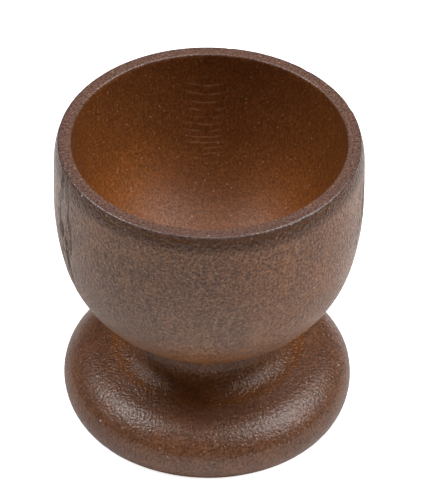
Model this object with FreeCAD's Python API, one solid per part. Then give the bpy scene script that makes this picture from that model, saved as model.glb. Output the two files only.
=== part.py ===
"""A small turned wooden communion chalice: a bowl and a foot, turned from two blanks and glued together on a
fluted dowel pin. Millimetres, +Z up, origin on the axis at the plane that the foot stands on."""

import FreeCAD, Part
import math
import os

# ---- driving dimensions (mm, degrees) ----
HEIGHT = 52.4  # standing plane to rim
JOINT_Z = 16.5  # glue line, in the crease under the bowl

# bowl, outside, from the rim down
LIP_R = 10.7  # profile radius where the wall draws in to the rim
LIP_Z = 49.0  # height at which it starts to draw in
BARREL_R = 180.0  # profile radius of the nearly straight wall
BELLY_R = 25.0  # widest radius
BELLY_Z = 41.0  # height of the widest radius
SIDE_R = 47.8  # profile radius just below the belly
SIDE_TURN_DEG = 12.4  # how far the profile turns on SIDE_R before it tightens
UNDER_R = 19.7  # profile radius of the rounded underside

# bowl, rim and inside
MOUTH_R = 21.9  # inside radius at the rim
RIM_OUTER_ROUND = 0.5
RIM_INNER_ROUND = 0.35
CUP_DEPTH = 29.0  # rim to the lowest point of the hollow
CUP_BOTTOM_R = 20.8  # profile radius of the hollow's bottom

# foot, outside, from the glue line down
NECK_R = 10.95  # narrowest radius
NECK_Z = 14.2  # height of the narrowest radius
COVE_R = 5.0  # profile radius of the hollow round the neck
CROWN_R = 9.0  # profile radius of the rounded top
TURN_R = 4.0  # profile radius of the turn between the crown and the band
TURN_TOP_DEG = 45.0  # where the crown meets the turn, measured up from level
BAND_TOP_DEG = 15.0  # where the turn meets the band
BAND_R = 6.0  # profile radius of the upright, slightly swollen band
FOOT_R = 24.05  # widest radius
FOOT_Z = 2.8  # height of the widest radius
FOOT_EDGE_ROUND = 0.4  # bottom edge

# foot, underside
RECESS_R = 17.0  # shallow dish under the foot
RECESS_DEPTH = 0.8
CENTRE_MARK_R = 1.4  # cone left by the lathe's tail centre
CENTRE_MARK_DEPTH = 1.6

# dowel pin and its two sockets
PIN_R = 4.0
PIN_IN_BOWL = 4.5
PIN_IN_FOOT = 10.0
PIN_CHAMFER = 0.7
GLUE_GAP = 0.06  # round the pin
SOCKET_END_GAP = 0.4  # beyond each end of the pin
FLUTES = 18
FLUTE_R = 0.4
FLUTE_DEPTH = 0.25

AXIS = FreeCAD.Vector(0, 0, 1)
ORIGIN = FreeCAD.Vector(0, 0, 0)
SOCKET_R = PIN_R + GLUE_GAP


def on_circle(centre, radius, degrees):
    """The point of a profile circle; 0 degrees points away from the axis, 90 up."""
    a = math.radians(degrees)
    return (centre[0] + radius * math.cos(a), centre[1] + radius * math.sin(a))


def direction_deg(start, end):
    return math.degrees(math.atan2(end[1] - start[1], end[0] - start[0]))


def at(point):
    """A profile point (radius, height) in space."""
    return FreeCAD.Vector(point[0], 0, point[1])


def line(start, end):
    return Part.LineSegment(at(start), at(end)).toShape()


def arc(centre, radius, start_deg, end_deg):
    middle_deg = (start_deg + end_deg) / 2
    ends = [at(on_circle(centre, radius, d)) for d in (start_deg, middle_deg, end_deg)]
    return Part.Arc(*ends).toShape()


def turned(edges):
    """The solid that a closed profile sweeps round the axis."""
    face = Part.Face(Part.Wire(edges))
    return face.revolve(ORIGIN, AXIS, 360)


def bowl_outside():
    """Rim rounding, lip, barrel, side and underside: arcs that each leave the one before at its own slope."""
    barrel = (BELLY_R - BARREL_R, BELLY_Z)
    barrel_deg = math.degrees(math.asin((LIP_Z - BELLY_Z) / BARREL_R))
    lip = on_circle(barrel, BARREL_R - LIP_R, barrel_deg)
    rim_z = HEIGHT - RIM_OUTER_ROUND
    rim_deg = math.degrees(math.asin((rim_z - lip[1]) / (LIP_R - RIM_OUTER_ROUND)))
    rim = on_circle(lip, LIP_R - RIM_OUTER_ROUND, rim_deg)
    side = (BELLY_R - SIDE_R, BELLY_Z)
    under = on_circle(side, SIDE_R - UNDER_R, -SIDE_TURN_DEG)
    landing_deg = -math.degrees(math.asin((under[1] - JOINT_Z) / UNDER_R))
    edges = [
        arc(rim, RIM_OUTER_ROUND, 90, rim_deg),
        arc(lip, LIP_R, rim_deg, barrel_deg),
        arc(barrel, BARREL_R, barrel_deg, 0),
        arc(side, SIDE_R, 0, -SIDE_TURN_DEG),
        arc(under, UNDER_R, -SIDE_TURN_DEG, landing_deg),
    ]
    return edges, (rim[0], HEIGHT), on_circle(under, UNDER_R, landing_deg)


def bowl_inside(bottom_point, rim_point):
    """A round bottom, a nearly upright wall tangent to it, and a small rounding at the mouth."""
    bottom = (0.0, HEIGHT - CUP_DEPTH + CUP_BOTTOM_R)
    mouth_z = HEIGHT - RIM_INNER_ROUND
    rise = mouth_z - bottom[1]
    wall_r = (MOUTH_R**2 + rise**2 - CUP_BOTTOM_R**2) / (2 * (MOUTH_R - CUP_BOTTOM_R))
    wall = (MOUTH_R - wall_r, mouth_z)
    meet_deg = direction_deg(wall, bottom)
    mouth = (MOUTH_R + RIM_INNER_ROUND, mouth_z)
    return [
        arc(bottom, CUP_BOTTOM_R, -90, meet_deg),
        arc(wall, wall_r, meet_deg, 0),
        arc(mouth, RIM_INNER_ROUND, 180, 90),
        line((mouth[0], HEIGHT), rim_point),
    ]


def bowl():
    outside, rim_point, landing_point = bowl_outside()
    socket_top = JOINT_Z + PIN_IN_BOWL + SOCKET_END_GAP
    cup_bottom = (0, HEIGHT - CUP_DEPTH)
    socket = [
        line(landing_point, (SOCKET_R, JOINT_Z)),
        line((SOCKET_R, JOINT_Z), (SOCKET_R, socket_top)),
        line((SOCKET_R, socket_top), (0, socket_top)),
        line((0, socket_top), cup_bottom),
    ]
    return turned(outside + socket + bowl_inside(cup_bottom, rim_point))


def foot_outside():
    """Neck and cove, a straight slope, crown, turn, band and bottom edge."""
    band = (FOOT_R - BAND_R, FOOT_Z)
    turn = on_circle(band, BAND_R - TURN_R, BAND_TOP_DEG)
    crown = on_circle(turn, TURN_R - CROWN_R, TURN_TOP_DEG)
    cove = (NECK_R + COVE_R, NECK_Z)
    # the slope touches the crown from above and the cove from below
    lean_deg = math.degrees(math.asin((COVE_R + CROWN_R) / math.dist(cove, crown)))
    slope_deg = direction_deg(cove, crown) + lean_deg
    cove_end_deg = slope_deg + 270
    crown_start_deg = slope_deg + 90
    cove_top_deg = 180 - math.degrees(math.asin((JOINT_Z - NECK_Z) / COVE_R))
    edge_z = FOOT_EDGE_ROUND
    band_low_deg = -math.degrees(math.asin((FOOT_Z - edge_z) / (BAND_R - FOOT_EDGE_ROUND)))
    edge = on_circle(band, BAND_R - FOOT_EDGE_ROUND, band_low_deg)
    edges = [
        arc(cove, COVE_R, cove_top_deg, cove_end_deg),
        line(on_circle(cove, COVE_R, cove_end_deg), on_circle(crown, CROWN_R, crown_start_deg)),
        arc(crown, CROWN_R, crown_start_deg, TURN_TOP_DEG),
        arc(turn, TURN_R, TURN_TOP_DEG, BAND_TOP_DEG),
        arc(band, BAND_R, BAND_TOP_DEG, band_low_deg),
        arc(edge, FOOT_EDGE_ROUND, band_low_deg, -90),
    ]
    return edges, on_circle(cove, COVE_R, cove_top_deg), (edge[0], 0)


def foot():
    outside, neck_point, ring_point = foot_outside()
    socket_bottom = JOINT_Z - PIN_IN_FOOT - SOCKET_END_GAP
    mark_tip = (0, RECESS_DEPTH + CENTRE_MARK_DEPTH)
    # the dish's wall slopes at 45 degrees
    dish_rim = (RECESS_R + RECESS_DEPTH, 0)
    underside = [
        line(ring_point, dish_rim),
        line(dish_rim, (RECESS_R, RECESS_DEPTH)),
        line((RECESS_R, RECESS_DEPTH), (CENTRE_MARK_R, RECESS_DEPTH)),
        line((CENTRE_MARK_R, RECESS_DEPTH), mark_tip),
        line(mark_tip, (0, socket_bottom)),
    ]
    socket = [
        line((0, socket_bottom), (SOCKET_R, socket_bottom)),
        line((SOCKET_R, socket_bottom), (SOCKET_R, JOINT_Z)),
        line((SOCKET_R, JOINT_Z), neck_point),
    ]
    return turned(outside + underside + socket)


def dowel_pin():
    """A pin chamfered at both ends, with straight glue flutes all round."""
    low = JOINT_Z - PIN_IN_FOOT
    length = PIN_IN_FOOT + PIN_IN_BOWL
    pin = Part.makeCylinder(PIN_R, length, FreeCAD.Vector(0, 0, low), AXIS)
    end_edges = [e for e in pin.Edges if len(e.Vertexes) == 1]
    pin = pin.makeChamfer(PIN_CHAMFER, end_edges)
    flute_at = PIN_R + FLUTE_R - FLUTE_DEPTH
    flutes = []
    for i in range(FLUTES):
        a = 2 * math.pi * i / FLUTES
        base = FreeCAD.Vector(flute_at * math.cos(a), flute_at * math.sin(a), low)
        flutes.append(Part.makeCylinder(FLUTE_R, length, base, AXIS))
    return pin.cut(flutes)


PARTS = {"bowl": bowl, "foot": foot, "dowel_pin": dowel_pin}

os.makedirs("parts", exist_ok=True)
for name, make in PARTS.items():
    shape = make()
    solid = shape.Solids[0]
    print(
        f"{name}: {len(shape.Solids)} solid, valid {solid.isValid()}, volume {solid.Volume / 1000:.2f} cm3, "
        f"area {solid.Area / 100:.2f} cm2"
    )
    solid.exportStep(f"parts/{name}.step")
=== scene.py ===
"""Looks of the small turned wooden communion chalice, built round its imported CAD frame. Metres, +Z up.

Profiles are written in millimetres, as (radius, height) points, and turned round the Z axis."""

import math
import bpy
from mathutils import Matrix, Vector, noise


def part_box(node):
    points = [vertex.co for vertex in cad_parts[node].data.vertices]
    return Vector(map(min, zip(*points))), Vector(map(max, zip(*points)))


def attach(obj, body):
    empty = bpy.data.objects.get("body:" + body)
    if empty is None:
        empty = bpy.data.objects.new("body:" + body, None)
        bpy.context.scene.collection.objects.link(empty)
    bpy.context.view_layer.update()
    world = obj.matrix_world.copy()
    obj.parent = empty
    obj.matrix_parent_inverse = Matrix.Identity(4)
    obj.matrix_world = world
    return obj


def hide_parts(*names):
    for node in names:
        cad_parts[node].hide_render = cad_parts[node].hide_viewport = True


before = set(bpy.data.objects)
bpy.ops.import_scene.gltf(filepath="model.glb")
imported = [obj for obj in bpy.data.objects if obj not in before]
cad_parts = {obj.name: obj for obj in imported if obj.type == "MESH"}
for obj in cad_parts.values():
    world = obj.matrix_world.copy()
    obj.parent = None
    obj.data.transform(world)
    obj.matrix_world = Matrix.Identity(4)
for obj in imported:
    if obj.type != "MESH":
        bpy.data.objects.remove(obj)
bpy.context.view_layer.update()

MM = 0.001


def box_mm(node):
    """The node's lowest and highest corner, in mm."""
    low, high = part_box(node)
    return [v / MM for v in low], [v / MM for v in high]


# ---- sizes from the frame, and the gaps that the CAD leaves round the pin (mm) ----
BOWL_HIGH = box_mm("bowl")[1]
FOOT_HIGH = box_mm("foot")[1]
PIN_LOW, PIN_HIGH = box_mm("dowel_pin")
HEIGHT = BOWL_HIGH[2]
BELLY_R = BOWL_HIGH[0]
JOINT_Z = FOOT_HIGH[2]
FOOT_R = FOOT_HIGH[0]
GLUE_GAP = 0.06  # round the pin
SOCKET_END_GAP = 0.4  # beyond each end of the pin
SOCKET_R = PIN_HIGH[0] + GLUE_GAP
SOCKET_TOP = PIN_HIGH[2] + SOCKET_END_GAP
SOCKET_BOTTOM = PIN_LOW[2] - SOCKET_END_GAP

# ---- bowl profile, as the CAD has it (mm, degrees) ----
LIP_R = 10.7
LIP_Z = 49.0
BARREL_R = 180.0
BELLY_Z = 41.0
SIDE_R = 47.8
SIDE_TURN_DEG = 12.4
UNDER_R = 19.7
MOUTH_R = 21.9
RIM_OUTER_ROUND = 0.5
RIM_INNER_ROUND = 0.35
CUP_DEPTH = 29.0
CUP_BOTTOM_R = 20.8

# ---- foot profile, as the CAD has it (mm, degrees) ----
NECK_R = 10.95
NECK_Z = 14.2
COVE_R = 5.0
CROWN_R = 9.0
TURN_R = 4.0
TURN_TOP_DEG = 45.0
BAND_TOP_DEG = 15.0
BAND_R = 6.0
BAND_Z = 2.8
FOOT_EDGE_ROUND = 0.4
RECESS_R = 17.0
RECESS_DEPTH = 0.8
CENTRE_MARK_R = 1.4
CENTRE_MARK_DEPTH = 1.6

# ---- fineness of the turned meshes ----
STEP = 0.4  # mm between stations along a profile
SEGMENTS = 384  # round the axis
FEWEST_ARC_STEPS = 4
FEWEST_LINE_STEPS = 3
AXIS_R = 1e-6  # mm; a profile point nearer than this is on the axis
SHARP_DEG = 40  # a crease steeper than this is shaded as an edge
WEAR_REACH = 0.9  # mm from a worn edge to where its wear has faded to about a third
NECK_SHADE_REACH = 2.2  # the same for the shade painted beside the glue line, in the neck under the bowl

# ---- relief of the wood's surface (mm), always cut inward so that the piece stays inside its CAD size ----
OVAL_DEPTH = 0.05  # the wood shrank more across one direction
OVAL_TURN_DEG = 35.0
WAVE_DEPTH = 0.05  # hand sanding
WAVE_SIZE = 7.0
RIDGE_DEPTH = 0.016  # turning tool
RIDGE_PITCH = 1.7
GRAIN_DEPTH = 0.02  # raised grain, long up the wood
GRAIN_SIZE = (0.9, 0.9, 4.0)
DENT_DEPTH = 0.22  # knocks along the worn edges, for each unit of noise above DENT_START
DENT_SIZE = 1.8
DENT_START = 0.28
PIT_DEPTH = 1.3  # open grain, for each unit of noise above PIT_START
PIT_SIZE = (1.0, 1.5, 5.5)
PIT_START = 0.0
# where each piece starts in the noise
BOWL_SEED = Vector((3.1, 7.7, 1.3))
FOOT_SEED = Vector((9.4, 2.2, 5.8))

# ---- marks on the wood, and the light and shade painted on it ----
LIP_SHADE_FROM = 49.0  # mm; shade is painted on the outside from here up to the rim, under the lip
LIP_SHADE_FADE = 1.5
NECK_SHADE_STRENGTH = 0.7  # how dark the shade painted beside the glue line is
FOOT_STAIN = 0.45  # the foot's share of the rim's dark stain, outside its cove
# Three of these are painted light: the darkening by the glue line and under the rim is painted shade, the
# grey patches outside are a painted sheen, and the paler patches inside are painted light.
MARKS = ("wear", "crease", "stain", "inside", "outside", "open_grain", "painted_sheen", "painted_light")
# Patches on the bowl's outside: azimuth of the middle (0 is the front, 90 the right), its height, the
# distances in degrees and mm at which the patch has faded to about a third, and its strength.
OPEN_GRAIN = (
    (-30.0, 41.0, 13.0, 5.0, 0.30),
    (-67.0, 40.5, 7.0, 10.0, 1.0),
    (80.0, 42.0, 8.0, 6.0, 0.7),
    (150.0, 34.0, 14.0, 6.0, 0.6),
    (-140.0, 38.0, 12.0, 7.0, 0.5),
)
# Grey patches of painted sheen on the bowl's outside, standing in for reflections, in the same columns.
SHEEN_PATCHES = ((-45.0, 30.0, 32.0, 16.0, 0.6), (120.0, 26.0, 30.0, 12.0, 0.6))
# The same for paler patches inside the cup, where light falls on its walls and bottom: painted light.
LIT_PATCHES_INSIDE = (
    (-132.0, 31.0, 30.0, 8.0, 0.9),
    (130.0, 31.0, 26.0, 7.0, 1.0),
    (20.0, 32.0, 60.0, 9.0, 0.9),
    (0.0, 23.4, 400.0, 4.5, 0.9),  # the cup's bottom, all round
)

# In the tables below, a noise is its size (mm, for each axis), detail and roughness, which is 0.5 where it
# isn't given. A step of two numbers goes smoothly from 0 to 1 between them, and a step of four goes from its
# third number to its fourth.

# ---- annual rings (mm) ----
RING_PITCH = 0.55
RING_LINE = (0.62, 1.0)  # the part of each wave that is pale
RING_TILT = 0.20  # the sheets lean this far forwards for each mm that they rise
RING_SWING = 0.00726  # how fast they turn across the cup towards the front
RING_SWING_FROM = 25.1  # the y where they lie straight across
RING_BEND_NOISE = ((14.0, 14.0, 30.0), 1.0)
RING_BEND = 1.4
RING_BEND_LESS_INSIDE = 1.25
RING_WOBBLE_NOISE = ((1.6, 1.6, 2.5), 1.0)
RING_WOBBLE = 0.16
RING_BREAK_NOISE = ((2.5, 2.5, 1.3), 1.0)  # breaks in the lines inside
RING_BREAK_STEP = (0.34, 0.54, 0.0, 0.45)
RING_PATCH_NOISE = ((5.0, 5.0, 6.0), 2.0)  # patches of lines anywhere but inside
RING_PATCH_STEP = (0.42, 0.60, 0.0, 0.20)
RING_MIDDLE_X = -0.9  # inside, the lines show on the back wall, on both sides of here
RING_ASIDE_STEP = (1.2, 4.2, 1.0, 0.0)
RING_BACK_STEP = (0.0, 8.0)  # y
RING_LOW_STEP = (31.0, 36.0)  # height
RING_HIGH_STEP = (46.0, 48.5, 1.0, 0.0)

# ---- stained wood ----
WOOD_DARK = (0.070, 0.023, 0.0070, 1)
WOOD_MID = (0.250, 0.079, 0.0165, 1)
WOOD_WARM = (0.350, 0.115, 0.023, 1)
WOOD_INSIDE = (0.200, 0.055, 0.0030, 1)
# the colour of the light painted inside the cup
WOOD_LIT_INSIDE = (0.350, 0.097, 0.0020, 1)
WOOD_WORN = (0.330, 0.155, 0.070, 1)
WOOD_LIGHT = (0.480, 0.260, 0.140, 1)
RIM_DARK = (0.040, 0.024, 0.023, 1)
RIM_LIGHT = (0.186, 0.115, 0.102, 1)
# the grey of the painted sheen on the bowl's outside
SHEEN_GREY = (0.150, 0.095, 0.058, 1)
PORE_COLOUR = (0.020, 0.010, 0.006, 1)
DUST_COLOUR = (0.65, 0.56, 0.50, 1)
NOISE_MIDDLE = 0.5
MOTTLE_NOISE = ((3.5, 3.5, 6.0), 3.0, 0.6)
MOTTLE_STEP = (0.3, 0.7)
CLOUD_NOISE = ((15.0, 15.0, 22.0), 2.0)
CLOUD_STEP = (0.35, 0.7)
CLOUD_TINT = 0.35
CLOUD_LESS_INSIDE = 0.15
FIBRE_NOISE = ((0.32, 0.32, 2.2), 3.0, 0.6)
FIBRE_STEP = (0.45, 0.70, 0.0, 0.45)
FIGURE_NOISE = ((0.38, 0.38, 0.48), 3.0, 0.78)
FIGURE_MORE_OUTSIDE = 0.50
FIGURE_LESS_INSIDE = 0.05
FIGURE_DARK_STEP = (0.44, 0.74)
FIGURE_PALE_STEP = (0.24, 0.48, 0.85, 0.0)
PALE_LESS_INSIDE = 0.45
RIM_STEP = (0.38, 0.62)
STREAK_NOISE = ((0.9, 1.6, 5.0), 3.0, 0.65)
STREAK_STEP = (0.44, 0.58)
DASH_SIZE = (0.42, 1.6, 1.4)  # mm
DASH_STEP = (0.15, 0.50, 1.0, 0.0)
DASH_SHARE = 0.7  # of the scattered points have a dash, where the grain is fully open
# Scattered spots: the pattern's size in mm, the distances over which a spot fades, as shares of that size,
# and the random numbers over which a point goes from no spot to a full one.
FLECKS = (0.75, (0.12, 0.26), (0.60, 0.95))
DUST = (2.8, (0.04, 0.07), (0.72, 0.74))
# how much of its colour each mark or kind of spot lays over the wood
TINTS = {
    "inside": 0.75,
    "painted_light": 0.75,
    "crease": 0.75,
    "stain": 0.85,
    "flecks": 0.7,
    "streaks": 0.9,
    "dashes": 0.8,
    "wear": 0.1,
}

# ---- the finish over it ----
FINISH_IOR = 1.52
FINISH_ROUGH_STEP = (0.3, 0.7, 0.25, 0.38)
ROUGHER_INSIDE = 0.20
ROUGHER_STREAKS = 0.45
BUMP_DEPTH = 0.15  # mm, for a height of 1
PEBBLE_NOISE = ((0.46, 0.46, 0.56), 1.0, 0.5)
PEBBLE_LESS_INSIDE = 0.75
PEBBLE_LESS_STAINED = 0.5
PEBBLE_MORE_OUTSIDE = 0.4
FIGURE_HEIGHT = 0.35
PORE_DEPTH = 0.5
SPECK_HEIGHT = 0.25

# ---- the dowel's beech ----
BEECH_LIGHT = (0.56, 0.36, 0.19, 1)
BEECH_DARK = (0.36, 0.21, 0.10, 1)
BEECH_FLECK = (0.22, 0.115, 0.05, 1)
BEECH_IOR = 1.5
BEECH_BUMP_DEPTH = 0.06  # mm, for a height of 1
BEECH_FIBRE_NOISE = ((0.3, 0.3, 4.0), 4.0, 0.6)
BEECH_FIBRE_STEP = (0.45, 0.8, 0.0, 0.6)
BEECH_ROUGH_STEP = (0.3, 0.8, 0.6, 0.75)
BEECH_TONE_NOISE = ((2.0, 2.0, 9.0), 2.0)
BEECH_TONE_STEP = (0.3, 0.7)
BEECH_FLECKS = ((0.5, 0.5, 2.2), (0.12, 0.3), (0.5, 0.65))
BEECH_FLECK_TINT = 0.7
BEECH_FLECK_DEPTH = 0.5

# ---- studio (metres, degrees, watts) ----
FLOOR_R = 0.20
FLOOR_CORNERS = 96
FLOOR_GLOW = 0.10  # as the object sees it
FLOOR_GLOW_SEEN = 0.85  # as the camera sees it, before the lamps' light on it
PAPER_COLOURS = ((0.86, 0.86, 0.86, 1), (0.88, 0.88, 0.88, 1))
PAPER_SCALE = 40.0
PAPER_DETAIL = 3.0
PAPER_ROUGHNESS = 0.9
WHITE = (1.0, 1.0, 1.0, 1)
ROOM_GREY = (0.01, 0.01, 0.01, 1)
SOFTBOX_DISTANCE = 0.75
# name, azimuth, degrees up, width, power
SOFTBOXES = (
    ("softbox_left", -102, 55, 0.28, 2.85),
    ("softbox_right", 93, 55, 0.50, 4.9),
    ("softbox_top", 0, 85, 0.30, 1.0),
)
CAMERA_DISTANCE = 0.5701
CAMERA_UP_DEG = 40.8
CAMERA_AIM_Z = 0.02914
CAMERA_LENS = 252.0  # mm
CAMERA_SENSOR = 36.0  # mm
CAMERA_ROLL_DEG = 0.6
CAMERA_SHIFT_X = 0.0042
CAMERA_CLIP = (0.01, 20.0)


# ---------------------------------------------------------------- profiles

def on_circle(centre, radius, degrees):
    a = math.radians(degrees)
    return (centre[0] + radius * math.cos(a), centre[1] + radius * math.sin(a))


def direction_deg(start, end):
    return math.degrees(math.atan2(end[1] - start[1], end[0] - start[0]))


def arc_run(centre, radius, start_deg, end_deg):
    """Points along an arc, without its last point."""
    length = abs(math.radians(end_deg - start_deg)) * radius
    count = max(FEWEST_ARC_STEPS, round(length / STEP))
    return [on_circle(centre, radius, start_deg + (end_deg - start_deg) * i / count) for i in range(count)]


def line_run(start, end):
    """Points along a line, without its last point, crowded towards both ends so that edges stay crisp."""
    length = math.dist(start, end)
    count = max(FEWEST_LINE_STEPS, round(length / STEP))
    shares = [(1 - math.cos(math.pi * i / count)) / 2 for i in range(count)]
    return [(start[0] + (end[0] - start[0]) * s, start[1] + (end[1] - start[1]) * s) for s in shares]


def bowl_profile():
    """From the middle of the hollow, over the rim, down the outside and up into the pin's socket."""
    bottom = (0.0, HEIGHT - CUP_DEPTH + CUP_BOTTOM_R)
    mouth_z = HEIGHT - RIM_INNER_ROUND
    rise = mouth_z - bottom[1]
    wall_r = (MOUTH_R**2 + rise**2 - CUP_BOTTOM_R**2) / (2 * (MOUTH_R - CUP_BOTTOM_R))
    wall = (MOUTH_R - wall_r, mouth_z)
    meet_deg = direction_deg(wall, bottom)
    mouth = (MOUTH_R + RIM_INNER_ROUND, mouth_z)

    barrel = (BELLY_R - BARREL_R, BELLY_Z)
    barrel_deg = math.degrees(math.asin((LIP_Z - BELLY_Z) / BARREL_R))
    lip = on_circle(barrel, BARREL_R - LIP_R, barrel_deg)
    rim_z = HEIGHT - RIM_OUTER_ROUND
    rim_deg = math.degrees(math.asin((rim_z - lip[1]) / (LIP_R - RIM_OUTER_ROUND)))
    rim = on_circle(lip, LIP_R - RIM_OUTER_ROUND, rim_deg)
    side = (BELLY_R - SIDE_R, BELLY_Z)
    under = on_circle(side, SIDE_R - UNDER_R, -SIDE_TURN_DEG)
    landing_deg = -math.degrees(math.asin((under[1] - JOINT_Z) / UNDER_R))
    landing = on_circle(under, UNDER_R, landing_deg)

    points = arc_run(bottom, CUP_BOTTOM_R, -90, meet_deg)
    points += arc_run(wall, wall_r, meet_deg, 0)
    points += arc_run(mouth, RIM_INNER_ROUND, 180, 90)
    points += line_run((mouth[0], HEIGHT), (rim[0], HEIGHT))
    points += arc_run(rim, RIM_OUTER_ROUND, 90, rim_deg)
    points += arc_run(lip, LIP_R, rim_deg, barrel_deg)
    points += arc_run(barrel, BARREL_R, barrel_deg, 0)
    points += arc_run(side, SIDE_R, 0, -SIDE_TURN_DEG)
    points += arc_run(under, UNDER_R, -SIDE_TURN_DEG, landing_deg)
    points += line_run(landing, (SOCKET_R, JOINT_Z))
    points += line_run((SOCKET_R, JOINT_Z), (SOCKET_R, SOCKET_TOP))
    points += line_run((SOCKET_R, SOCKET_TOP), (0, SOCKET_TOP))
    points.append((0, SOCKET_TOP))
    edges = [(rim[0] + RIM_OUTER_ROUND, rim[1]), (mouth[0], HEIGHT)]
    return points, edges


def foot_profile():
    """From the socket's floor, out over the glue line, down the outside and in across the underside."""
    band = (FOOT_R - BAND_R, BAND_Z)
    turn = on_circle(band, BAND_R - TURN_R, BAND_TOP_DEG)
    crown = on_circle(turn, TURN_R - CROWN_R, TURN_TOP_DEG)
    cove = (NECK_R + COVE_R, NECK_Z)
    lean_deg = math.degrees(math.asin((COVE_R + CROWN_R) / math.dist(cove, crown)))
    slope_deg = direction_deg(cove, crown) + lean_deg
    cove_end_deg = slope_deg + 270
    crown_start_deg = slope_deg + 90
    cove_top_deg = 180 - math.degrees(math.asin((JOINT_Z - NECK_Z) / COVE_R))
    edge_z = FOOT_EDGE_ROUND
    band_low_deg = -math.degrees(math.asin((BAND_Z - edge_z) / (BAND_R - FOOT_EDGE_ROUND)))
    edge = on_circle(band, BAND_R - FOOT_EDGE_ROUND, band_low_deg)
    neck_top = on_circle(cove, COVE_R, cove_top_deg)
    mark_tip = (0, RECESS_DEPTH + CENTRE_MARK_DEPTH)

    points = line_run((0, SOCKET_BOTTOM), (SOCKET_R, SOCKET_BOTTOM))
    points += line_run((SOCKET_R, SOCKET_BOTTOM), (SOCKET_R, JOINT_Z))
    points += line_run((SOCKET_R, JOINT_Z), neck_top)
    points += arc_run(cove, COVE_R, cove_top_deg, cove_end_deg)
    points += line_run(on_circle(cove, COVE_R, cove_end_deg), on_circle(crown, CROWN_R, crown_start_deg))
    points += arc_run(crown, CROWN_R, crown_start_deg, TURN_TOP_DEG)
    points += arc_run(turn, TURN_R, TURN_TOP_DEG, BAND_TOP_DEG)
    points += arc_run(band, BAND_R, BAND_TOP_DEG, band_low_deg)
    points += arc_run(edge, FOOT_EDGE_ROUND, band_low_deg, -90)
    points += line_run((edge[0], 0), (RECESS_R + RECESS_DEPTH, 0))
    points += line_run((RECESS_R + RECESS_DEPTH, 0), (RECESS_R, RECESS_DEPTH))
    points += line_run((RECESS_R, RECESS_DEPTH), (CENTRE_MARK_R, RECESS_DEPTH))
    points += line_run((CENTRE_MARK_R, RECESS_DEPTH), mark_tip)
    points.append(mark_tip)
    edges = [on_circle(edge, FOOT_EDGE_ROUND, -45), (RECESS_R + RECESS_DEPTH, 0)]
    return points, edges


# ---------------------------------------------------------------- turned meshes

def outward(points, i):
    """Unit normal of the profile at point i, to the outside of the wood."""
    a = points[max(i - 1, 0)]
    b = points[min(i + 1, len(points) - 1)]
    along = (b[0] - a[0], b[1] - a[1])
    length = math.hypot(*along)
    return (-along[1] / length, along[0] / length)


def nearness(point, places, reach):
    """1 at any of the places, about a third at the reach, and 0 far away."""
    gap = min(math.dist(point, place) for place in places)
    return math.exp(-((gap / reach) ** 2))


def stain_depth(r, z):
    """How much darker the stain took there: on the very rim, and less on the foot outside its cove."""
    if z > HEIGHT - RIM_INNER_ROUND:
        return 1.0
    if z < JOINT_Z and r > NECK_R + COVE_R:
        return FOOT_STAIN
    return 0.0


def painted_shade_share(r, z, faces_out):
    """Painted shade: darker beside the glue line, in the neck under the bowl, and in a band under the rim."""
    # painted shade in the neck under the bowl, round the glue line
    crease = NECK_SHADE_STRENGTH * nearness((r, z), [(NECK_R, JOINT_Z)], NECK_SHADE_REACH)
    # painted shade in a band under the rim, on the outside
    band = min(max((z - LIP_SHADE_FROM) / LIP_SHADE_FADE, 0.0), 1.0) if faces_out else 0.0
    return max(crease, band)


def patches(places, azimuth_deg, z):
    """The strongest patch there: each has its own strength at its middle and fades to 0 round it."""
    best = 0.0
    for middle_deg, middle_z, half_deg, half_z, strength in places:
        turn = (azimuth_deg - middle_deg + 180) % 360 - 180
        best = max(best, strength * math.exp(-((turn / half_deg) ** 2) - ((z - middle_z) / half_z) ** 2))
    return best


def in_joint(r, z):
    """True on the glued faces and in the sockets, which fit the pin and each other."""
    return r < NECK_R + COVE_R and SOCKET_BOTTOM - STEP < z < SOCKET_TOP + STEP and (
        r <= SOCKET_R + STEP or abs(z - JOINT_Z) < STEP / 4
    )


def marks(r, z, normal, angle, edges):
    """The marks on the wood there, with the painted light and shade: one share for each name in MARKS."""
    # the angle starts at +X, and azimuth 0 is at -Y
    azimuth_deg = math.degrees(angle) + 90
    on_bowl = z > JOINT_Z
    faces_out = normal[0] > 0
    below_mouth = z < HEIGHT - RIM_INNER_ROUND
    return (
        nearness((r, z), edges, WEAR_REACH),
        0.0 if in_joint(r, z) else painted_shade_share(r, z, faces_out),
        stain_depth(r, z),
        1.0 if on_bowl and below_mouth and not faces_out else 0.0,
        1.0 if on_bowl and below_mouth and faces_out else 0.0,
        patches(OPEN_GRAIN, azimuth_deg, z) if on_bowl and faces_out else 0.0,
        patches(SHEEN_PATCHES, azimuth_deg, z) if on_bowl and faces_out else 0.0,
        patches(LIT_PATCHES_INSIDE, azimuth_deg, z) if on_bowl and not faces_out else 0.0,
    )


def unit(value):
    """From the range -1 to 1 to the range 0 to 1."""
    return 0.5 + 0.5 * value


def stretched(place, sizes):
    return Vector(c / s for c, s in zip(place, sizes))


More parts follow.
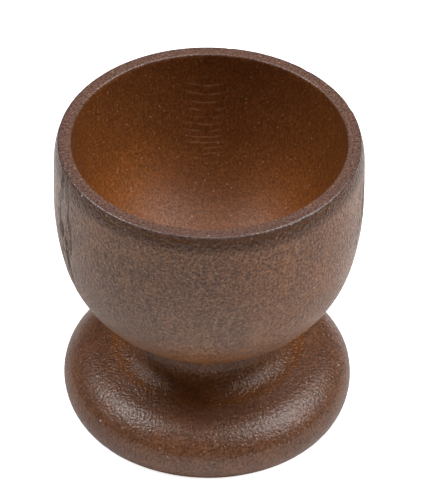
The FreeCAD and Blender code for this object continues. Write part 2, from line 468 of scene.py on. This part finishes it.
def relief(r, z, angle, place, wear, open_grain, seed):
    """How far the surface lies under the turned profile there, in mm."""
    oval = OVAL_DEPTH * unit(math.cos(2 * (angle - math.radians(OVAL_TURN_DEG)))) * r / BELLY_R
    wave = WAVE_DEPTH * unit(noise.noise(place / WAVE_SIZE + seed))
    fade = unit(noise.noise(place / (2 * WAVE_SIZE) - seed))
    ridge = RIDGE_DEPTH * fade * unit(math.sin(2 * math.pi * (z + r) / RIDGE_PITCH))
    grain = GRAIN_DEPTH * unit(noise.noise(stretched(place, GRAIN_SIZE) + seed))
    knock = max(0.0, noise.noise(place / DENT_SIZE - seed) - DENT_START)
    pit = max(0.0, noise.noise(stretched(place, PIT_SIZE) - seed) - PIT_START)
    return oval + wave + ridge + grain + DENT_DEPTH * wear * knock + PIT_DEPTH * open_grain * pit


def vertex(r, z, normal, angle, found, seed):
    """The profile's point turned to the angle, with the relief cut in, in metres."""
    c, s = math.cos(angle), math.sin(angle)
    depth = 0.0
    if r >= AXIS_R and not in_joint(r, z):
        place = Vector((r * c, r * s, z))
        depth = relief(r, z, angle, place, found["wear"], found["open_grain"], seed)
    radius = r - normal[0] * depth
    return (radius * c * MM, radius * s * MM, (z - normal[1] * depth) * MM)


def ring_faces(rings):
    """Faces from each ring of vertices to the next. A ring on the axis is a single vertex."""
    faces = []
    for low, high in zip(rings, rings[1:]):
        for k in range(SEGMENTS):
            n = (k + 1) % SEGMENTS
            if len(low) == 1:
                faces.append((low[0], high[k], high[n]))
            elif len(high) == 1:
                faces.append((low[n], low[k], high[0]))
            else:
                faces.append((low[n], low[k], high[k], high[n]))
    return faces


def turned_mesh(name, points, edges, seed):
    """A closed mesh of revolution with the wood's relief, and each of MARKS as an attribute."""
    verts = []
    rings = []
    shares = {mark: [] for mark in MARKS}
    for i, (r, z) in enumerate(points):
        normal = outward(points, i)
        ring = []
        for k in range(1 if r < AXIS_R else SEGMENTS):
            angle = 2 * math.pi * k / SEGMENTS
            found = dict(zip(MARKS, marks(r, z, normal, angle, edges)))
            ring.append(len(verts))
            verts.append(vertex(r, z, normal, angle, found, seed))
            for mark, share in found.items():
                shares[mark].append(share)
        rings.append(ring)

    mesh = bpy.data.meshes.new(name)
    mesh.from_pydata(verts, [], ring_faces(rings))
    for mark, values in shares.items():
        mesh.attributes.new(mark, "FLOAT", "POINT").data.foreach_set("value", values)
    mesh.shade_smooth()
    mesh.set_sharp_from_angle(angle=math.radians(SHARP_DEG))
    mesh.validate()
    piece = bpy.data.objects.new(name, mesh)
    bpy.context.scene.collection.objects.link(piece)
    return piece


# ---------------------------------------------------------------- materials

# the colour sockets of a Mix node
MIX_FIRST = 6
MIX_SECOND = 7
MIX_RESULT = 2


class Nodes:
    """A short way to write a material. Most methods add a node or a few and return what comes out of them."""

    def __init__(self, name):
        self.material = bpy.data.materials.new(name)
        self.material.use_nodes = True
        self.tree = self.material.node_tree
        self.tree.nodes.clear()

    def node(self, kind, settings=None, **inputs):
        made = self.tree.nodes.new(kind)
        for key, value in (settings or {}).items():
            setattr(made, key, value)
        for key, value in inputs.items():
            self.put(made.inputs[key.replace("_", " ")], value)
        return made

    def put(self, socket, value):
        if isinstance(value, bpy.types.NodeSocket):
            self.tree.links.new(value, socket)
        else:
            socket.default_value = value

    def math(self, operation, *values):
        made = self.tree.nodes.new("ShaderNodeMath")
        made.operation = operation
        for socket, value in zip(made.inputs, values):
            self.put(socket, value)
        return made.outputs[0]

    def times(self, first, second):
        return self.math("MULTIPLY", first, second)

    def plus(self, first, second):
        return self.math("ADD", first, second)

    def minus(self, first, second):
        return self.math("SUBTRACT", first, second)

    def linear(self, value, slope, start):
        """start + slope * value"""
        return self.math("MULTIPLY_ADD", value, slope, start)

    def millimetres(self):
        """The place on the piece, in mm."""
        place = self.node("ShaderNodeTexCoord").outputs["Object"]
        return self.scaled(place, (1 / MM, 1 / MM, 1 / MM))

    def scaled(self, vector, factors):
        made = self.tree.nodes.new("ShaderNodeVectorMath")
        made.operation = "MULTIPLY"
        self.put(made.inputs[0], vector)
        made.inputs[1].default_value = factors
        return made.outputs[0]

    def in_sizes(self, place, size):
        """The place counted in sizes, which are one number or one for each axis."""
        sizes = size if isinstance(size, tuple) else (size, size, size)
        return self.scaled(place, tuple(1 / s for s in sizes))

    def noise(self, place, size, detail, roughness=0.5):
        """Noise whose blobs are about size mm across."""
        vector = self.in_sizes(place, size)
        made = self.node("ShaderNodeTexNoise", Vector=vector, Scale=1.0, Detail=detail, Roughness=roughness)
        return made.outputs["Fac"]

    def cells(self, place, size):
        """Distance to the nearest scattered point, counted in sizes, and that point's random number."""
        vector = self.in_sizes(place, size)
        made = self.node("ShaderNodeTexVoronoi", Vector=vector, Scale=1.0, Randomness=1.0)
        pick = self.node("ShaderNodeSeparateColor", Color=made.outputs["Color"])
        return made.outputs["Distance"], pick.outputs[0]

    def spots(self, place, size, fade, picked):
        """Scattered spots: 1 in the middle of a full one, 0 between them."""
        gap, pick = self.cells(place, size)
        return self.times(self.step(gap, *fade, 1.0, 0.0), self.step(pick, *picked))

    def step(self, value, low, high, out_low=0.0, out_high=1.0):
        """Smoothly from out_low to out_high as value goes from low to high."""
        made = self.node("ShaderNodeMapRange", {"interpolation_type": "SMOOTHSTEP"}, Value=value)
        ends = {"From Min": low, "From Max": high, "To Min": out_low, "To Max": out_high}
        for key, number in ends.items():
            made.inputs[key].default_value = number
        return made.outputs["Result"]

    def blend(self, share, first, second):
        """From the first colour to the second as share goes from 0 to 1."""
        made = self.node("ShaderNodeMix", {"data_type": "RGBA"})
        self.put(made.inputs["Factor"], share)
        self.put(made.inputs[MIX_FIRST], first)
        self.put(made.inputs[MIX_SECOND], second)
        return made.outputs[MIX_RESULT]

    def attribute(self, name):
        return self.node("ShaderNodeAttribute", {"attribute_name": name}).outputs["Fac"]

    def bump(self, height, depth_mm):
        made = self.node("ShaderNodeBump", Height=height, Distance=depth_mm * MM, Strength=1.0)
        return made.outputs["Normal"]

    def finish(self, **inputs):
        shader = self.node("ShaderNodeBsdfPrincipled", **inputs)
        self.node("ShaderNodeOutputMaterial", Surface=shader.outputs[0])
        return self.material


def ring_sheets(n, place, inside):
    """Nearly flat sheets facing Y, which swing towards X at the front."""
    x, y, z = n.node("ShaderNodeSeparateXYZ", Vector=place).outputs
    swing = n.times(n.times(x, RING_SWING), n.minus(RING_SWING_FROM, y))
    sheet = n.minus(swing, n.linear(z, RING_TILT, y))
    bend = n.linear(inside, -RING_BEND_LESS_INSIDE, RING_BEND)
    slow = n.times(n.noise(place, *RING_BEND_NOISE), bend)
    quick = n.times(n.noise(place, *RING_WOBBLE_NOISE), RING_WOBBLE)
    return n.plus(sheet, n.plus(slow, quick))


def rings_show(n, place, inside):
    """How clearly the rings show: broken lines on the inner back wall, faint patches anywhere but inside."""
    x, y, z = n.node("ShaderNodeSeparateXYZ", Vector=place).outputs
    aside = n.math("ABSOLUTE", n.minus(x, RING_MIDDLE_X))
    broken = n.step(n.noise(place, *RING_BREAK_NOISE), *RING_BREAK_STEP)
    inner = n.times(inside, n.times(broken, n.step(aside, *RING_ASIDE_STEP)))
    band = n.times(n.step(z, *RING_LOW_STEP), n.step(z, *RING_HIGH_STEP))
    inner = n.times(inner, n.times(band, n.step(y, *RING_BACK_STEP)))
    patchy = n.step(n.noise(place, *RING_PATCH_NOISE), *RING_PATCH_STEP)
    return n.plus(inner, n.times(n.minus(1.0, inside), patchy))


def ring_lines(n, place, inside):
    """Thin annual rings, as pale lines."""
    turns = n.times(ring_sheets(n, place, inside), 2 * math.pi / RING_PITCH)
    return n.times(n.step(n.math("SINE", turns), *RING_LINE), rings_show(n, place, inside))


def wood_spots(n, place, open_grain):
    """Dark streaks and dashes in the open grain, and pale flecks and dust all over."""
    gap, pick = n.cells(place, DASH_SIZE)
    dashed = n.math("LESS_THAN", pick, n.times(open_grain, DASH_SHARE))
    return {
        "streaks": n.times(n.step(n.noise(place, *STREAK_NOISE), *STREAK_STEP), open_grain),
        "dashes": n.times(n.step(gap, *DASH_STEP), dashed),
        "flecks": n.spots(place, *FLECKS),
        "dust": n.spots(place, *DUST),
    }


def wood_figure(n, grain, found):
    """The grain's noise, with more contrast on the bowl's outside and slightly less inside."""
    clear = n.linear(found["outside"], FIGURE_MORE_OUTSIDE, 1.0)
    clear = n.linear(found["inside"], -FIGURE_LESS_INSIDE, clear)
    return n.linear(n.minus(grain, NOISE_MIDDLE), clear, NOISE_MIDDLE)


def wood_colour(n, place, grain, found):
    """The wood's own mottle, and the stain, figure, marks and spots laid over it one after another, among
    them painted sheen, painted light and painted shade.
    """
    inside = found["inside"]
    figure = wood_figure(n, grain, found)
    clouded = n.linear(inside, -CLOUD_LESS_INSIDE, CLOUD_TINT)
    cloud = n.times(n.step(n.noise(place, *CLOUD_NOISE), *CLOUD_STEP), clouded)
    pale = n.times(n.step(figure, *FIGURE_PALE_STEP), n.linear(inside, -PALE_LESS_INSIDE, 1.0))
    tint = {name: n.times(found[name], share) for name, share in TINTS.items()}
    layers = (
        # painted sheen: grey patches on the bowl's outside
        (found["painted_sheen"], SHEEN_GREY),
        (tint["inside"], WOOD_INSIDE),
        # painted light: paler patches inside the cup, where light falls
        (tint["painted_light"], WOOD_LIT_INSIDE),
        (cloud, WOOD_DARK),
        (n.step(n.noise(place, *FIBRE_NOISE), *FIBRE_STEP), WOOD_DARK),
        (n.step(figure, *FIGURE_DARK_STEP), WOOD_DARK),
        (pale, WOOD_LIGHT),
        (ring_lines(n, place, inside), WOOD_LIGHT),
        # painted shade: darker by the glue line and in the band under the rim
        (tint["crease"], WOOD_DARK),
        (tint["stain"], n.blend(n.step(grain, *RIM_STEP), RIM_LIGHT, RIM_DARK)),
        (tint["flecks"], WOOD_LIGHT),
        (tint["streaks"], PORE_COLOUR),
        (tint["dashes"], PORE_COLOUR),
        (tint["wear"], WOOD_WORN),
        (found["dust"], DUST_COLOUR),
    )
    colour = n.blend(n.step(n.noise(place, *MOTTLE_NOISE), *MOTTLE_STEP), WOOD_MID, WOOD_WARM)
    for share, laid in layers:
        colour = n.blend(share, colour, laid)
    return colour


def wood_height(n, place, grain, found):
    """The finish's pebbling, flattest inside and strongest on the bowl's outside, with sunk pores and raised
    specks."""
    less_inside = n.times(found["inside"], PEBBLE_LESS_INSIDE)
    less_stained = n.times(found["stain"], PEBBLE_LESS_STAINED)
    swell = n.minus(1.0, n.plus(less_inside, less_stained))
    swell = n.linear(found["outside"], PEBBLE_MORE_OUTSIDE, swell)
    pebble = n.minus(n.noise(place, *PEBBLE_NOISE), NOISE_MIDDLE)
    fine = n.times(n.minus(grain, NOISE_MIDDLE), FIGURE_HEIGHT)
    sunk = n.times(n.plus(found["dashes"], found["streaks"]), PORE_DEPTH)
    raised = n.times(n.plus(found["dust"], found["flecks"]), SPECK_HEIGHT)
    return n.plus(n.minus(n.times(n.plus(pebble, fine), swell), sunk), raised)


def stained_wood():
    """Fine-grained hardwood under a dark brown stain and a thin finish, pebbled by the raised grain."""
    n = Nodes("stained_wood")
    p = n.millimetres()
    found = {mark: n.attribute(mark) for mark in MARKS}
    found.update(wood_spots(n, p, found["open_grain"]))
    grain = n.noise(p, *FIGURE_NOISE)
    colour = wood_colour(n, p, grain, found)
    bump = n.bump(wood_height(n, p, grain, found), BUMP_DEPTH)
    rough = n.plus(n.step(grain, *FINISH_ROUGH_STEP), n.times(found["inside"], ROUGHER_INSIDE))
    rough = n.linear(found["streaks"], ROUGHER_STREAKS, rough)
    return n.finish(Base_Color=colour, Roughness=rough, IOR=FINISH_IOR, Normal=bump)


def dowel_wood():
    """Bare beech: pale, with short dark flecks along the grain."""
    n = Nodes("dowel_wood")
    p = n.millimetres()
    fibre = n.noise(p, *BEECH_FIBRE_NOISE)
    fleck = n.spots(p, *BEECH_FLECKS)
    colour = n.blend(n.step(n.noise(p, *BEECH_TONE_NOISE), *BEECH_TONE_STEP), BEECH_LIGHT, BEECH_DARK)
    colour = n.blend(n.step(fibre, *BEECH_FIBRE_STEP), colour, BEECH_DARK)
    colour = n.blend(n.times(fleck, BEECH_FLECK_TINT), colour, BEECH_FLECK)
    bump = n.bump(n.minus(fibre, n.times(fleck, BEECH_FLECK_DEPTH)), BEECH_BUMP_DEPTH)
    rough = n.step(fibre, *BEECH_ROUGH_STEP)
    return n.finish(Base_Color=colour, Roughness=rough, IOR=BEECH_IOR, Normal=bump)


def floor_paper():
    """A smooth pale sheet that glows, as on a light table."""
    n = Nodes("floor_paper")
    place = n.node("ShaderNodeTexCoord").outputs["Object"]
    tone = n.node("ShaderNodeTexNoise", Vector=place, Scale=PAPER_SCALE, Detail=PAPER_DETAIL).outputs["Fac"]
    colour = n.blend(tone, *PAPER_COLOURS)
    seen = n.node("ShaderNodeLightPath").outputs["Is Camera Ray"]
    glow = n.step(seen, 0.0, 1.0, FLOOR_GLOW, FLOOR_GLOW_SEEN)
    return n.finish(
        Base_Color=colour, Roughness=PAPER_ROUGHNESS, Emission_Color=WHITE, Emission_Strength=glow
    )


# ---------------------------------------------------------------- studio

def add_floor():
    angles = [2 * math.pi * k / FLOOR_CORNERS for k in range(FLOOR_CORNERS)]
    ring = [(FLOOR_R * math.cos(a), FLOOR_R * math.sin(a), 0) for a in angles]
    mesh = bpy.data.meshes.new("floor")
    mesh.from_pydata(ring, [], [tuple(range(FLOOR_CORNERS))])
    mesh.materials.append(floor_paper())
    floor = bpy.data.objects.new("floor", mesh)
    bpy.context.scene.collection.objects.link(floor)


def towards(azimuth_deg, up_deg):
    """Unit vector; azimuth 0 is the camera's side of the object, and 90 is its right."""
    a, e = math.radians(azimuth_deg), math.radians(up_deg)
    return Vector((math.cos(e) * math.sin(a), -math.cos(e) * math.cos(a), math.sin(e)))


def add_softbox(name, azimuth_deg, up_deg, size, power):
    light = bpy.data.lights.new(name, "AREA")
    light.shape = "SQUARE"
    light.size = size
    light.energy = power
    lamp = bpy.data.objects.new(name, light)
    aim = Vector((0, 0, CAMERA_AIM_Z))
    direction = towards(azimuth_deg, up_deg)
    lamp.location = aim + direction * SOFTBOX_DISTANCE
    lamp.rotation_euler = direction.to_track_quat("Z", "Y").to_euler()
    bpy.context.scene.collection.objects.link(lamp)


def add_world():
    """The camera sees white all round, while the object is lit by a dim grey room and reflects it."""
    world = bpy.data.worlds.new("studio")
    world.use_nodes = True
    tree = world.node_tree
    tree.nodes.clear()
    room = tree.nodes.new("ShaderNodeBackground")
    room.inputs["Color"].default_value = ROOM_GREY
    backdrop = tree.nodes.new("ShaderNodeBackground")
    backdrop.inputs["Color"].default_value = WHITE
    rays = tree.nodes.new("ShaderNodeLightPath")
    mix = tree.nodes.new("ShaderNodeMixShader")
    out = tree.nodes.new("ShaderNodeOutputWorld")
    tree.links.new(rays.outputs["Is Camera Ray"], mix.inputs[0])
    tree.links.new(room.outputs[0], mix.inputs[1])
    tree.links.new(backdrop.outputs[0], mix.inputs[2])
    tree.links.new(mix.outputs[0], out.inputs[0])
    bpy.context.scene.world = world


def add_camera():
    data = bpy.data.cameras.new("camera")
    data.lens = CAMERA_LENS
    data.sensor_width = CAMERA_SENSOR
    data.shift_x = CAMERA_SHIFT_X
    data.clip_start, data.clip_end = CAMERA_CLIP
    camera = bpy.data.objects.new("camera", data)
    direction = towards(0, CAMERA_UP_DEG)
    camera.location = Vector((0, 0, CAMERA_AIM_Z)) + direction * CAMERA_DISTANCE
    turn = direction.to_track_quat("Z", "Y").to_matrix().to_4x4()
    roll = Matrix.Rotation(math.radians(CAMERA_ROLL_DEG), 4, "Z")
    camera.rotation_euler = (turn @ roll).to_euler()
    bpy.context.scene.collection.objects.link(camera)
    bpy.context.scene.camera = camera


# ---------------------------------------------------------------- the chalice

def add_piece(name, node, profile, material, seed):
    points, edges = profile()
    piece = turned_mesh(name, points, edges, seed)
    piece.data.materials.append(material)
    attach(piece, "root")
    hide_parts(node)


wood = stained_wood()
add_piece("turned_bowl", "bowl", bowl_profile, wood, BOWL_SEED)
add_piece("turned_foot", "foot", foot_profile, wood, FOOT_SEED)
pin_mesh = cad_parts["dowel_pin"].data
pin_mesh.materials.clear()
pin_mesh.materials.append(dowel_wood())

add_floor()
add_world()
for softbox in SOFTBOXES:
    add_softbox(*softbox)
add_camera()
bpy.context.scene.view_settings.view_transform = "Standard"
